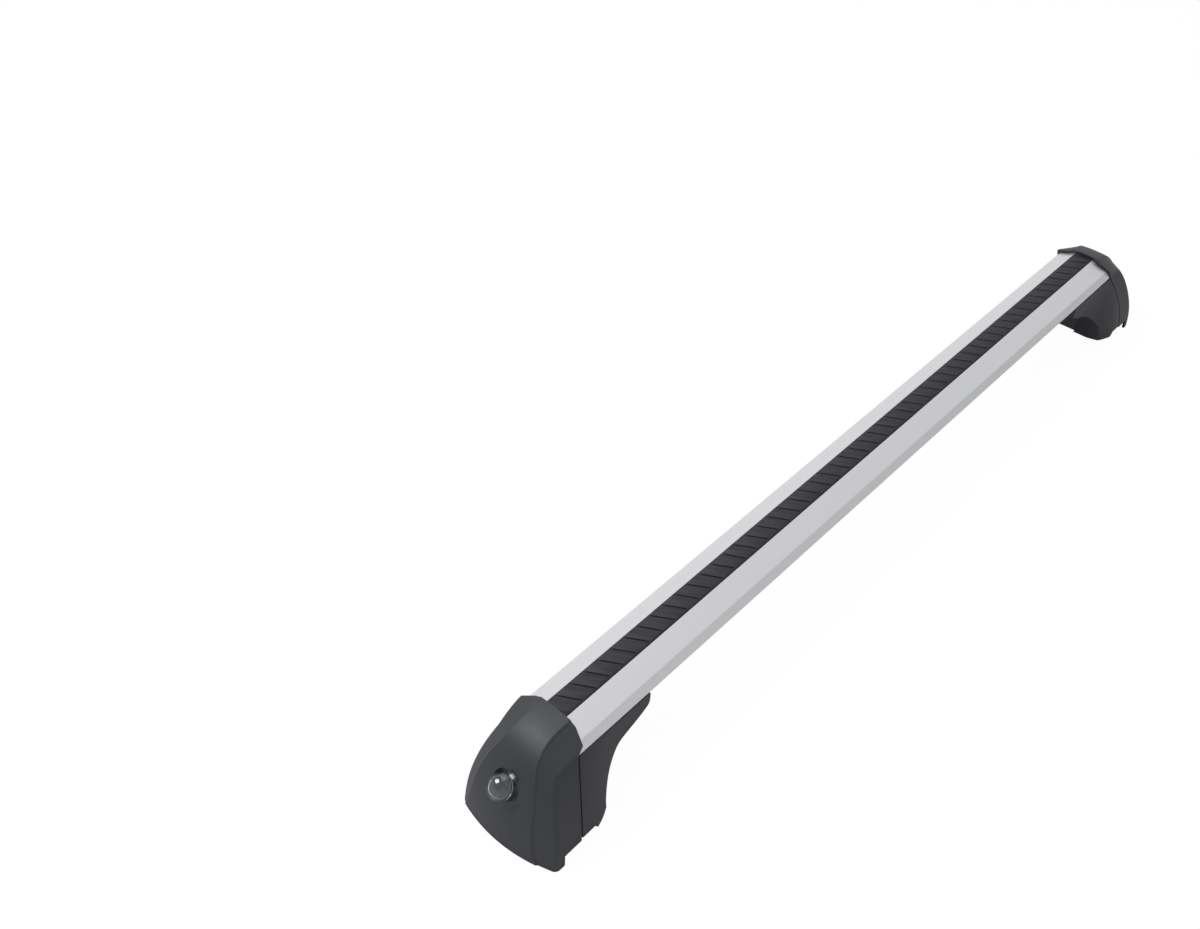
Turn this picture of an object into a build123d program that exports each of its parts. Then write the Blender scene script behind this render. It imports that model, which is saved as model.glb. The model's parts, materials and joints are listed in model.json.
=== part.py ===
from build123d import *
import os
from math import cos, pi, radians, sin, tan

os.makedirs("parts", exist_ok=True)

# Roof rack crossbar. X runs along the bar, Z is up and the covers' lower edges are at Z = 0.
# Each foot is drawn at the bar's -X end, in foot coordinates: u runs inboard from the bar's
# end, y across the bar and z up from the top of the bar. The other foot is its mirror image.

# Bar
bar_length = 934.0
bar_width = 69.6
bar_height = 28.0
bar_wall = 2.2
shoulder_width = 61.0
shoulder_drop = 9.8
edge_drop = 19.6
bar_floor_width = 56.0
bar_corner_radius = 2.0
top_height = 104.0

# Strip slot in the top of the bar
slot_mouth = 22.4
slot_width = 28.0
slot_lip = 3.6
slot_depth = 11.0

# Rubber strip
strip_gap = 0.2
strip_end_gap = 0.4
strip_barb_gap = 0.5
strip_barb_height = 2.6
strip_leg = 2.0
groove_pitch = 16.7
groove_width = 1.2
groove_depth = 1.0
groove_length = 19.0
groove_skew = 30.6

# Foot form
foot_top_width = 70.4
foot_front_reach = 59.5
foot_back_reach = 48.0
flare_start = -10.0
flare_end = 55.0
crown_radius = 150.0
band_step = 1.5
band_round = 1.6
shoulder_round = 6.0
hood_reach = 74.0
hood_rise = 3.5
hood_pivot_u = 8.0
cover_wall = 2.6
cover_mouth_wall = 2.5
cover_notch = 12.0
cover_notch_start = -42.5
cover_notch_slant = 1.0
housing_wall = 3.0
housing_base = 96.0
housing_flank_base = 90.0
housing_tab = 6.0
housing_tab_slant = 4.0
horn_reach = 85.0
horn_drop = 34.0
horn_tip_drop = 27.0
horn_lip = 1.0
horn_round = 5.0
base_reach = 20.0
corner_start = 36.0
seam_top_u = 9.0
seam_middle_u = -11.0
seam_middle_drop = 40.0
seam_foot_u = -22.6
seam_gap = 1.4
bar_clearance = 0.35
cradle_drop = 21.0
cut_reach = 130.0

# Lock in the cover
lock_turn = 47.0
lock_tilt = 15.0
lock_dish_diameter = 28.0
lock_dish_floor_diameter = 24.6
lock_dish_depth = 7.0
lock_backing = 2.2
lock_barrel_diameter = 12.0
lock_barrel_length = 10.0
lock_running_gap = 0.05
lock_wall = 2.2
lock_tail_diameter = 6.0
lock_tail_length = 7.4
keyway_width = 1.6
keyway_height = 7.0
keyway_depth = 7.0
cam_reach = 13.0
cam_width = 7.0
cam_thickness = 2.0
cam_gap = 1.6
cam_screw_diameter = 3.0
cam_screw_head = 5.0
lock_clip_thickness = 0.8
lock_clip_diameter = 15.0
lock_clip_opening = 7.0
lock_groove_depth = 0.8
lock_end_gap = 0.35

# Clear dust cap over the lock
cap_diameter = 22.0
cap_wall = 1.2
cap_dome = 3.6
cap_rim = 1.0
cap_open_angle = 42.0
cap_hinge_turn = 20.0
cap_hinge_reach = 13.4
cap_hinge_depth = 0.6
cap_pin_diameter = 1.6
cap_pin_length = 9.0
cap_pin_gap = 0.05
cap_knuckle_diameter = 3.4
cap_knuckle_length = 4.0
cap_ear_gap = 0.4
cap_knuckle_gap = 0.35

# Clamp
clamp_tilt = 15.0
clamp_seat_u = -36.0
clamp_seat_drop = 70.0
clamp_nut_start = 19.5
bolt_diameter = 8.0
bolt_length = 47.0
bolt_head_diameter = 13.0
bolt_head_height = 8.0
bolt_socket = 6.0
bolt_socket_depth = 4.5
bolt_seat_gap = 0.3
bolt_thread_gap = 0.05
bolt_hole_gap = 0.4
washer_diameter = 16.0
washer_thickness = 1.6
clip_thickness = 1.0
clip_diameter = 12.0
clip_groove_depth = 0.7
jaw_width = 40.0
jaw_clip_gap = 0.7
jaw_root_height = 9.0
jaw_back_length = 22.0
jaw_top_length = 43.0
jaw_top_height = 20.0
jaw_toe_length = 60.0
jaw_toe_height = -7.0
jaw_sole_length = 57.0
jaw_sole_height = -12.0
jaw_heel_length = 24.0
jaw_guide_gap = 0.6
jaw_cap_wall = 3.5
jaw_cap_start = 28.0
jaw_bore_gap = 0.5
jaw_nut_diameter = 14.0
jaw_nut_length = 18.0
window_drop = 62.0

# Cast bracket inside the foot
cheek_wall = 3.5
cheek_arm_u = 52.0
cheek_arm_depth = 11.0
cheek_bend_u = 34.0
cheek_bend_depth = 21.0
cheek_leg_u = 20.0
cheek_leg_height = 21.0
cheek_foot_height = 7.0
saddle_thickness = 4.0
saddle_end = 72.0
front_wall_u = -31.0
front_wall = 3.0
front_wall_top = 36.0
clamp_boss_diameter = 18.0
clamp_boss_length = 10.0
base_plate_drop = 87.0
base_plate = 4.0
base_plate_start = -43.0
base_plate_end = 13.0
base_margin = 2.5
claw_wall = 4.5
claw_drop = 101.5
claw_width = 60.0
pad_thickness = 6.0
pad_claw_gap = 1.0

# Screws between the foot and the bar
bar_bolt_diameter = 6.0
bar_bolt_clearance = 0.3
bar_bolt_head_diameter = 10.0
bar_bolt_head_height = 6.0
bar_bolt_socket = 5.0
bar_bolt_socket_depth = 3.0
bar_bolt_first = 22.0
bar_bolt_spacing = 30.0
nut_plate_thickness = 5.0
nut_plate_width = 16.0
nut_plate_margin = 8.0
nut_plate_side_gap = 1.0

# Screws that hold the housing to the bracket
shell_screw_diameter = 4.0
shell_screw_head_diameter = 7.5
shell_screw_length = 10.0
shell_screw_u = 66.0
shell_screw_y = 14.0
shell_boss_diameter = 9.0
shell_boss_length = 14.0


def side_face(*edges):
    """A face in the side view: u along X and z along Z, drawn at y = 0."""
    return Plane.XZ * make_face(Curve() + list(edges))


def side_prism(face, width):
    """The side view face drawn out evenly to both sides of the foot's middle."""
    return extrude(face, width / 2, both=True)


def tilted_plane(u, z, tilt):
    """A plane at (u, z) whose normal points inboard and down by tilt degrees; its x is the foot's y."""
    normal = Vector(cos(radians(tilt)), 0, -sin(radians(tilt)))
    return Plane(origin=(u, 0, z), x_dir=(0, 1, 0), z_dir=normal)


def disc(plane, start, length, diameter):
    """A cylinder on the plane's axis from start to start + length."""
    return plane * Pos(0, 0, start) * Cylinder(
        diameter / 2, length, align=(Align.CENTER, Align.CENTER, Align.MIN)
    )


def bar_outline():
    """The closed outline of the bar, seen along it."""
    half = Polyline(
        (0, 0),
        (slot_mouth / 2, 0),
        (shoulder_width / 2, -shoulder_drop),
        (bar_width / 2, -edge_drop),
        (bar_floor_width / 2, -bar_height),
        (0, -bar_height),
    )
    face = make_face(half + mirror(half, about=Plane.YZ))
    corners = [v for v in face.vertices() if abs(v.X) > slot_mouth / 2 + 1]
    return fillet(corners, bar_corner_radius)


def box_2d(half_width, top, bottom):
    """A rectangle about the middle of the bar between two depths."""
    return Pos(0, -(top + bottom) / 2) * Rectangle(2 * half_width, bottom - top)


def make_bar():
    """The extruded bar, with its strip slot on top and two closed chambers below it."""
    outline = bar_outline()
    chamber = offset(outline, -bar_wall)
    slot_block = box_2d(slot_width / 2 + bar_wall, 0, slot_depth + bar_wall)
    channel = nut_plate_width / 2 + nut_plate_side_gap
    rib = box_2d(channel + bar_wall, slot_depth, bar_height)
    rib_void = box_2d(channel, slot_depth + bar_wall, bar_height - bar_wall)
    profile = outline - chamber + (outline & slot_block) + (outline & (rib - rib_void))
    profile -= box_2d(slot_mouth / 2, -1, slot_lip)
    profile -= box_2d(slot_width / 2, slot_lip, slot_depth)
    bar = extrude(Plane.YZ * profile, bar_length / 2, both=True)
    for end in (-1, 1):
        for hole_u in bar_bolt_places():
            place = Pos(end * (bar_length / 2 - hole_u), 0, -bar_height)
            bar -= place * Cylinder(bar_bolt_diameter / 2 + bar_bolt_clearance, 4 * bar_wall)
    return bar


def make_strip():
    """The rubber strip between the covers, snapped under the slot's lips, with slanted grooves."""
    width = slot_mouth - 2 * strip_gap
    barb = slot_width - 2 * strip_barb_gap
    barb_top = slot_lip + strip_gap
    profile = box_2d(width / 2, 0, barb_top)
    profile += box_2d(barb / 2, barb_top, barb_top + strip_barb_height)
    leg = Rectangle(strip_leg, slot_depth - barb_top)
    leg_y = width / 2 - strip_leg
    for side in (-1, 0, 1):
        profile += Pos(side * leg_y, -(slot_depth + barb_top) / 2) * leg
    length = bar_length - 2 * (hood_pivot_u + strip_end_gap)
    strip = extrude(Plane.YZ * profile, length / 2, both=True)
    count = int((bar_length - groove_pitch) / groove_pitch)
    grooves = Sketch()
    for place in GridLocations(groove_pitch, 1, count, 1):
        grooves += place * Rot(0, 0, groove_skew) * Rectangle(groove_width, groove_length)
    strip -= extrude(grooves, -groove_depth)
    return strip


def bar_bolt_places():
    """The distances of the two bar screws from the end of the bar."""
    return (bar_bolt_first, bar_bolt_first + bar_bolt_spacing)


def bar_space(gap):
    """The space that the bar and its clearance take up inside the foot."""
    space = extrude(Plane.YZ * offset(bar_outline(), gap), bar_length / 2)
    return Pos(-gap, 0, 0) * space


# The hood's stations turn about its pivot, from level at the base to upright over the bar:
# turn, share of the crown's rise from its reach at the base to its reach over the bar, half
# width of the raised band, and the slopes of the form in front of the band and behind it.
hood_stations = (
    (0.0, 0.0, 42.0, 18.0, 47.0),
    (15.0, 0.018, 37.0, 19.0, 46.0),
    (30.0, 0.12, 34.0, 20.0, 44.0),
    (47.0, 0.352, 30.0, 21.6, 41.0),
    (60.0, 0.642, 23.0, 23.0, 38.0),
    (75.0, 0.907, 16.2, 27.0, 33.0),
    (90.0, 1.0, 16.5, 30.0, 30.0),
)
hood_core = 20.0
hood_core_overlap = 6.0


def crown_reach(share):
    """The crown's distance from the hood's pivot at a station."""
    return hood_reach + share * (top_height + hood_rise - hood_reach)


def hood_flank(side, half_band, edge, slope):
    """One side of a hood station: the step down from the band and the slope beyond it."""
    outside = 2 * foot_front_reach
    low = edge - band_step
    far = max(low - (outside - half_band) * tan(radians(slope)), hood_core + band_step)
    return Polyline(
        (edge, side * half_band),
        (low, side * (half_band + band_step)),
        (far, side * outside),
        (hood_core, side * outside),
    )


def hood(inset):
    """The hood's outer form: a crowned band with a slope on each side of it."""
    outside = 2 * foot_front_reach
    sections = []
    for turn, share, half_band, front_slope, back_slope in hood_stations:
        crown = crown_reach(share) - inset
        edge = crown - half_band**2 / (2 * crown_radius)
        crest = ThreePointArc((edge, -half_band), (crown, 0), (edge, half_band))
        front = hood_flank(-1, half_band, edge, front_slope)
        back = hood_flank(1, half_band, edge, back_slope)
        root = Line((hood_core, -outside), (hood_core, outside))
        face = make_face(crest + front + back + root)
        near = half_band + 1.1 * band_step
        steps = [v for v in face.vertices() if abs(v.Y) < near]
        direction = Vector(-cos(radians(turn)), 0, sin(radians(turn)))
        plane = Plane(
            origin=(hood_pivot_u, 0, -top_height),
            x_dir=direction,
            z_dir=direction.cross(Vector(0, 1, 0)),
        )
        sections.append(plane * fillet(steps, band_round))
    core = Pos(hood_pivot_u, 0, -top_height) * Box(
        hood_core + hood_core_overlap,
        2 * outside,
        hood_core + hood_core_overlap,
        align=(Align.MAX, Align.CENTER, Align.MIN),
    )
    return loft(sections) + core


def root_reach(drop, base_reach_y):
    """The foot's reach to one side beside the seam, at a drop below the top of the bar."""
    share = min(max((drop - edge_drop) / (top_height - edge_drop), 0), 1)
    return foot_top_width / 2 + (base_reach_y - foot_top_width / 2) * (1 - (1 - share) ** 1.9)


def flank_edge(side, drop, inset, base_reach_y):
    """One long edge of the foot's plan: its flare narrows to the width of the bar inboard."""
    wide = root_reach(drop, base_reach_y) - inset
    narrow = foot_top_width / 2 - inset
    points = []
    for i in range(6):
        u = flare_start + (flare_end - flare_start) * i / 5
        share = (1 + cos(pi * i / 5)) / 2
        points.append((u, side * (narrow + (wide - narrow) * share)))
    start = Line((-cut_reach, side * wide), points[0])
    curve = Spline(*points, tangents=((1, 0), (1, 0)))
    return start + curve + Line(points[-1], (cut_reach, side * narrow))


def flank_level(drop, inset):
    """The foot's plan at one height, between its front and back flanks."""
    front = flank_edge(-1, drop, inset, foot_front_reach)
    back = flank_edge(1, drop, inset, foot_back_reach)
    ends = Line(front @ 0, back @ 0) + Line(front @ 1, back @ 1)
    return Pos(0, 0, -drop) * make_face(front + back + ends)


def flank(inset):
    """The foot between its two flanks, wide at the base and as narrow as the bar at the horn."""
    drops = [edge_drop + (top_height - edge_drop) * share for share in (0, 0.2, 0.42, 0.68, 1)]
    lower = loft([flank_level(drop, inset) for drop in drops])
    upper = extrude(flank_level(edge_drop, inset), edge_drop + 2 * hood_rise)
    return lower + upper


def seam_curve(shift):
    """The seam between cover and housing in the side view, moved along the bar by shift."""
    return ThreePointArc(
        (seam_top_u + shift, 0),
        (seam_middle_u + shift, -seam_middle_drop),
        (seam_foot_u + shift, -housing_flank_base),
    )


def cover_notch_top():
    """The drop from the bar's top to the notch in the cover's lower edge."""
    return top_height - cover_notch


def cover_region():
    """The side view of all that lies outboard of the seam."""
    seam = seam_curve(0)
    lower = seam @ 1
    notch_top = cover_notch_top()
    outline = Polyline(
        (lower.X, lower.Y),
        (lower.X, -notch_top),
        (cover_notch_start, -notch_top),
        (cover_notch_start - cover_notch_slant, -top_height),
        (-cut_reach, -top_height),
        (-cut_reach, 2 * hood_rise),
        (seam_top_u, 2 * hood_rise),
        (seam_top_u, 0),
    )
    return side_face(seam, outline)


def inboard_curve(offset_in):
    """The foot's concave inboard edge in the side view, from the horn's end to the base."""
    return Spline(
        (horn_reach - offset_in, -horn_drop + 0.6 * offset_in),
        (65, -44 + offset_in),
        (42, -54 + offset_in),
        (27 - 0.6 * offset_in, -68 + 0.8 * offset_in),
        (base_reach - offset_in, -housing_base),
    )


def housing_region(offset_in, seam_shift, setback=0):
    """The side view of the housing or its hollow; setback moves its inboard edge outboard."""
    seam = seam_curve(seam_shift)
    inboard = Pos(-setback, 0) * inboard_curve(offset_in)
    tip = inboard @ 0
    foot = inboard @ 1
    outline = Polyline(
        ((seam @ 0).X, (seam @ 0).Y),
        (tip.X + horn_lip, 0),
        (tip.X + horn_lip, -horn_tip_drop),
        (tip.X, tip.Y),
    )
    base = Polyline(
        (foot.X, foot.Y),
        (housing_tab - setback, -housing_base),
        (housing_tab - housing_tab_slant - setback, -housing_flank_base),
        ((seam @ 1).X, (seam @ 1).Y),
    )
    face = side_face(seam, outline, inboard, base)
    corner = face.vertices().sort_by_distance((tip.X, 0, tip.Y))[0]
    return fillet(corner, horn_round)


# The inboard corners of the foot's base: the distance from its middle and the setback there.
corner_stations = ((47.0, 2.6), (57.0, 7.5), (66.0, 14.0))


def housing_form(offset_in, seam_shift):
    """The housing's side view drawn across the foot, with its inboard corners set back."""
    start = corner_start - offset_in
    form = side_prism(housing_region(offset_in, seam_shift), 2 * start)
    for side in (-1, 1):
        sections = [Pos(0, side * start, 0) * housing_region(offset_in, seam_shift)]
        for reach, setback in corner_stations:
            place = Pos(0, side * (reach - offset_in), 0)
            sections.append(place * housing_region(offset_in, seam_shift, setback))
        form += loft(sections)
    return form


def below_base(inset):
    """The space under the foot's base, inside its inboard wall."""
    edge = base_reach - inset
    top = -clamp_seat_drop + jaw_root_height
    corners = [(-foot_front_reach, top), (edge - housing_tab_slant, top), (edge, -housing_base)]
    corners += [(edge, -cut_reach), (-foot_front_reach, -cut_reach)]
    return side_face(Polyline(*corners, close=True))


def make_housing():
    """The moulded housing: a flared shell with a horn that reaches inboard under the bar."""
    width = 4 * foot_front_reach
    body = housing_form(0, seam_gap) & flank(0)
    hollow = housing_form(housing_wall, -30)
    hollow += side_prism(below_base(housing_wall), 2 * corner_start)
    body -= hollow & flank(housing_wall)
    for side in (-1, 1):
        place = Pos(shell_screw_u, side * shell_screw_y, -bar_height - saddle_thickness)
        boss = place * Cylinder(
            shell_boss_diameter / 2,
            shell_boss_length,
            align=(Align.CENTER, Align.CENTER, Align.MAX),
        )
        body += boss & side_prism(housing_region(0, seam_gap), width)
        body -= place * Cylinder(shell_screw_diameter / 2, 2 * shell_screw_length)
    body -= Box(width, width, cradle_drop, align=(Align.CENTER, Align.CENTER, Align.MAX))
    body -= bar_space(bar_clearance)
    window = Pos(0, 0, -top_height) * Box(
        foot_front_reach,
        jaw_width + 2 * jaw_guide_gap,
        top_height - window_drop,
        align=(Align.MIN, Align.CENTER, Align.MIN),
    )
    return body - window


def lock_plane():
    """The lock's axis from the crown of the hood into the foot; its y points up the dish."""
    reach = crown_reach(next(station[1] for station in hood_stations if station[0] == lock_turn))
    u = hood_pivot_u - reach * cos(radians(lock_turn))
    z = -top_height + reach * sin(radians(lock_turn))
    return tilted_plane(u, z, lock_tilt)


def cap_plane():
    """The lock's plane turned so that its y points from the middle of the dish to the cap's hinge."""
    return Plane(lock_plane() * Rot(0, 0, cap_hinge_turn))


def cap_hinge_plane():
    """The dust cap's hinge: x runs across the dish, y out of it and z along the pin."""
    face = cap_plane()
    origin = face.from_local_coords((0, cap_hinge_reach, cap_hinge_depth))
    return Plane(origin=origin, x_dir=face.y_dir * -1, z_dir=face.x_dir)


def is_shoulder(edge):
    """Whether an edge of the cover's form is one of the two that run from the bar to the base."""
    low, high = sorted((edge @ 0, edge @ 1), key=lambda point: point.Z)
    runs_down = low.Z < -cover_notch_top() and high.Z > -seam_middle_drop
    return runs_down and abs(low.Y) > foot_back_reach - band_step


def make_cover():
    """The hood that closes the foot's outboard end, with the lock's dish and barrel boss."""
    width = 4 * foot_front_reach
    outer = (hood(0) & flank(0)) & side_prism(cover_region(), width)
    shoulders = [e for e in outer.edges() if is_shoulder(e)]
    outer = fillet(shoulders, shoulder_round)
    shell = outer - (hood(cover_wall) & flank(cover_wall))
    shell += outer & Pos(hood_pivot_u, 0, 0) * Box(
        cover_mouth_wall, width, top_height, align=(Align.MAX, Align.CENTER, Align.CENTER)
    )
    shell -= bar_space(bar_clearance)
    lock = lock_plane()
    backing = lock_dish_depth + lock_backing
    rim = disc(lock, -lock_dish_depth, lock_dish_depth + backing, lock_dish_diameter + 2 * lock_wall)
    shell += rim & outer
    boss_end = lock_dish_depth + lock_barrel_length - lock_clip_thickness - 2 * lock_end_gap
    shell += disc(lock, lock_dish_depth, boss_end - lock_dish_depth, lock_bore() + 2 * lock_wall)
    flare = (lock_dish_diameter - lock_dish_floor_diameter) / 2
    shell -= lock * Pos(0, 0, lock_dish_depth) * Rot(180, 0, 0) * Cone(
        lock_dish_floor_diameter / 2,
        lock_dish_floor_diameter / 2 + 2 * flare,
        2 * lock_dish_depth,
        align=(Align.CENTER, Align.CENTER, Align.MIN),
    )
    shell -= disc(lock, 0, 2 * lock_barrel_length, lock_bore())
    hinge = cap_hinge_plane()
    ear_space = cap_knuckle_length / 2 + cap_ear_gap
    ear_length = (cap_pin_length - cap_knuckle_length) / 2 - cap_ear_gap
    for side in (-1, 1):
        middle = side * (ear_space + ear_length / 2)
        ear = Cylinder(cap_knuckle_diameter / 2, ear_length)
        foot = Box(
            cap_knuckle_diameter,
            lock_dish_depth,
            ear_length,
            align=(Align.CENTER, Align.MAX, Align.CENTER),
        )
        shell += hinge * Pos(0, 0, middle) * (ear + foot)
    shell -= hinge * Cylinder(cap_pin_diameter / 2, cap_pin_length)
    knuckle_space = cap_knuckle_diameter / 2 + cap_knuckle_gap
    return shell - hinge * Cylinder(knuckle_space, 2 * ear_space)


def lock_bore():
    """The bore in the cover that the lock barrel turns in."""
    return lock_barrel_diameter + 2 * lock_running_gap


def make_lock_barrel():
    """The lock's turning barrel, with its keyway, its clip groove and the tail for the cam."""
    lock = lock_plane()
    end = lock_dish_depth + lock_barrel_length
    barrel = disc(lock, lock_dish_depth, lock_barrel_length, lock_barrel_diameter)
    barrel += disc(lock, end, lock_tail_length, lock_tail_diameter)
    barrel -= lock * Pos(0, 0, lock_dish_depth) * Box(
        keyway_width, keyway_height, 2 * keyway_depth
    )
    inner = lock_barrel_diameter - 2 * lock_groove_depth
    start = end - lock_clip_thickness - lock_end_gap
    ring = disc(lock, start, lock_clip_thickness, lock_barrel_diameter + 2)
    barrel -= ring - disc(lock, start, lock_clip_thickness, inner)
    depth = 0.7 * lock_barrel_length
    return barrel - disc(lock, end + lock_tail_length - depth / 2, depth, cam_screw_diameter)


def make_lock_clip():
    """The ring that keeps the barrel from sliding out of the cover."""
    lock = lock_plane()
    start = lock_dish_depth + lock_barrel_length - lock_clip_thickness - lock_end_gap
    ring = disc(lock, start, lock_clip_thickness, lock_clip_diameter)
    ring -= disc(lock, start, lock_clip_thickness, lock_barrel_diameter - 2 * lock_groove_depth)
    gap = Box(
        lock_clip_diameter,
        lock_clip_opening,
        4 * lock_clip_thickness,
        align=(Align.MIN, Align.CENTER, Align.CENTER),
    )
    return ring - lock * Pos(0, 0, start) * gap


def cam_start():
    """Where the cam begins along the lock's axis."""
    return lock_dish_depth + lock_barrel_length + lock_tail_length


def make_lock_cam():
    """The flat cam at the end of the barrel, turned level so that the cover can come off."""
    lock = lock_plane()
    length = cam_reach - cam_width / 2
    blade = Pos(-length / 2, 0) * Rectangle(length, cam_width)
    blade += Circle(cam_width / 2)
    blade += Pos(-length, 0) * Circle(cam_width / 2)
    blade -= Circle(cam_screw_diameter / 2)
    return lock * Pos(0, 0, cam_start()) * extrude(blade, cam_thickness)


def make_cam_screw():
    """The screw that holds the cam to the barrel's tail."""
    lock = lock_plane()
    seat = cam_start() + cam_thickness
    depth = 0.35 * lock_barrel_length + cam_thickness
    screw = disc(lock, seat - depth, depth, cam_screw_diameter)
    return screw + disc(lock, seat, cam_screw_diameter / 2, cam_screw_head)


def make_dust_cap():
    """The clear domed cap, swung open on its hinge beside the lock."""
    radius = (cap_diameter**2 / 4 + cap_dome**2) / (2 * cap_dome)
    dome = Pos(0, 0, radius - cap_dome) * Sphere(radius)
    dome -= Pos(0, 0, radius - cap_dome) * Sphere(radius - cap_wall)
    dome &= Box(
        cap_diameter, cap_diameter, cap_dome, align=(Align.CENTER, Align.CENTER, Align.MAX)
    )
    rim = Cylinder(cap_diameter / 2, cap_rim, align=(Align.CENTER, Align.CENTER, Align.MIN))
    rim -= Cylinder(cap_diameter / 2 - 2 * cap_wall, 4 * cap_rim)
    cap = cap_plane() * Pos(0, 0, cap_hinge_depth - cap_rim / 2) * (dome + rim)
    hinge = cap_hinge_plane()
    knuckle = Cylinder(cap_knuckle_diameter / 2, cap_knuckle_length)
    bridge = Box(
        cap_hinge_reach - cap_diameter / 2 + cap_wall,
        cap_rim,
        cap_knuckle_length,
        align=(Align.MIN, Align.CENTER, Align.CENTER),
    )
    cap += hinge * (knuckle + bridge)
    cap -= hinge * Cylinder(cap_pin_diameter / 2 + cap_pin_gap, 2 * cap_pin_length)
    turn = Axis(hinge.origin, hinge.z_dir)
    return cap.rotate(turn, cap_open_angle)


def make_cap_pin():
    """The dust cap's hinge pin, pressed into the cover's two ears."""
    return cap_hinge_plane() * Cylinder(cap_pin_diameter / 2, cap_pin_length)


def clamp_plane():
    """The clamp bolt's axis, from the washer's seat on the bracket towards the jaw."""
    return tilted_plane(clamp_seat_u, -clamp_seat_drop, clamp_tilt)


def clamp_profile(points):
    """A prism across the foot; its outline is given along the bolt's axis and up from it."""
    plane = clamp_plane()
    side = Plane(origin=plane.origin, x_dir=plane.z_dir, z_dir=(0, -1, 0))
    face = side * make_face(Polyline(*points, close=True))
    return extrude(face, jaw_width / 2, both=True)


def socket_screw(plane, seat, length, diameter, head, head_height, socket, socket_depth):
    """A hexagon socket screw whose head sits outboard of seat and whose shank runs inward."""
    screw = disc(plane, seat - head_height, head_height, head)
    screw += disc(plane, seat, length, diameter)
    hexagon = RegularPolygon(socket / 2, 6, major_radius=False)
    screw -= plane * Pos(0, 0, seat - head_height) * extrude(hexagon, socket_depth)
    return screw


def make_clamp_bolt():
    """The clamp bolt: its head faces the cover, and its clip keeps it in the bracket."""
    seat = -washer_thickness - bolt_seat_gap
    bolt = socket_screw(
        clamp_plane(),
        seat,
        bolt_length - seat,
        bolt_diameter,
        bolt_head_diameter,
        bolt_head_height,
        bolt_socket,
        bolt_socket_depth,
    )
    start = clamp_boss_length + bolt_seat_gap
    groove = disc(clamp_plane(), start, clip_thickness, bolt_diameter + 2)
    groove -= disc(clamp_plane(), start, clip_thickness, bolt_diameter - 2 * clip_groove_depth)
    return bolt - groove


def make_bolt_clip():
    """The open ring in the bolt's groove, on the jaw's side of the bracket."""
    start = clamp_boss_length + bolt_seat_gap
    ring = disc(clamp_plane(), start, clip_thickness, clip_diameter)
    ring -= disc(clamp_plane(), start, clip_thickness, bolt_diameter - 2 * clip_groove_depth)
    gap = Box(
        clip_diameter,
        bolt_diameter / 2,
        4 * clip_thickness,
        align=(Align.MIN, Align.CENTER, Align.CENTER),
    )
    return ring - clamp_plane() * Pos(0, 0, start) * gap


def make_clamp_washer():
    """The hardened washer under the clamp bolt's head."""
    ring = disc(clamp_plane(), -washer_thickness, washer_thickness, washer_diameter)
    hole = bolt_diameter + 2 * bolt_hole_gap
    return ring - disc(clamp_plane(), -2 * washer_thickness, 4 * washer_thickness, hole)


# The jaw's outline along the bolt's axis and up from it; it starts just clear of the bolt's clip.
jaw_back = clamp_boss_length + bolt_seat_gap + clip_thickness + jaw_clip_gap
jaw_profile = (
    (jaw_back, jaw_root_height),
    (jaw_back_length, jaw_top_height),
    (jaw_top_length, jaw_top_height),
    (jaw_toe_length, jaw_toe_height),
    (jaw_sole_length, jaw_sole_height),
    (jaw_heel_length, jaw_sole_height),
    (jaw_back, -jaw_root_height),
)


def jaw_cap_space():
    """The jaw's gripping end, as far in as the moulded cap covers it."""
    top, toe = Vector(*jaw_profile[2]), Vector(*jaw_profile[3])
    along = (toe - top).normalized()
    inward = Vector(along.Y, -along.X) * jaw_cap_wall
    return clamp_profile([(x + inward.X, y + inward.Y) for x, y in jaw_profile])


def jaw_cap_keep():
    """All of the jaw beyond the moulded cap's inner end."""
    corners = [(jaw_cap_start, -cut_reach), (cut_reach, -cut_reach)]
    corners += [(cut_reach, cut_reach), (jaw_cap_start, cut_reach)]
    return clamp_profile(corners)


def make_clamp_jaw():
    """The steel jaw that slides down and inboard as the bolt is let out."""
    blank = clamp_profile(jaw_profile)
    jaw = blank - ((blank - jaw_cap_space()) & jaw_cap_keep())
    jaw -= disc(clamp_plane(), 0, bolt_length + jaw_bore_gap, bolt_diameter + 2 * jaw_bore_gap)
    return jaw - nut_blank()


def make_jaw_cap():
    """The moulded cap over the jaw's gripping end."""
    return (clamp_profile(jaw_profile) - jaw_cap_space()) & jaw_cap_keep()


def nut_blank():
    """The space of the round cross nut in the jaw."""
    place = clamp_plane() * Pos(0, 0, clamp_nut_start) * Rot(0, 90, 0)
    return place * Cylinder(jaw_nut_diameter / 2, jaw_nut_length)


def make_jaw_nut():
    """The round cross nut that the clamp bolt turns in."""
    hole = bolt_diameter + 2 * bolt_thread_gap
    return nut_blank() - disc(clamp_plane(), 0, bolt_length, hole)


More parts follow.
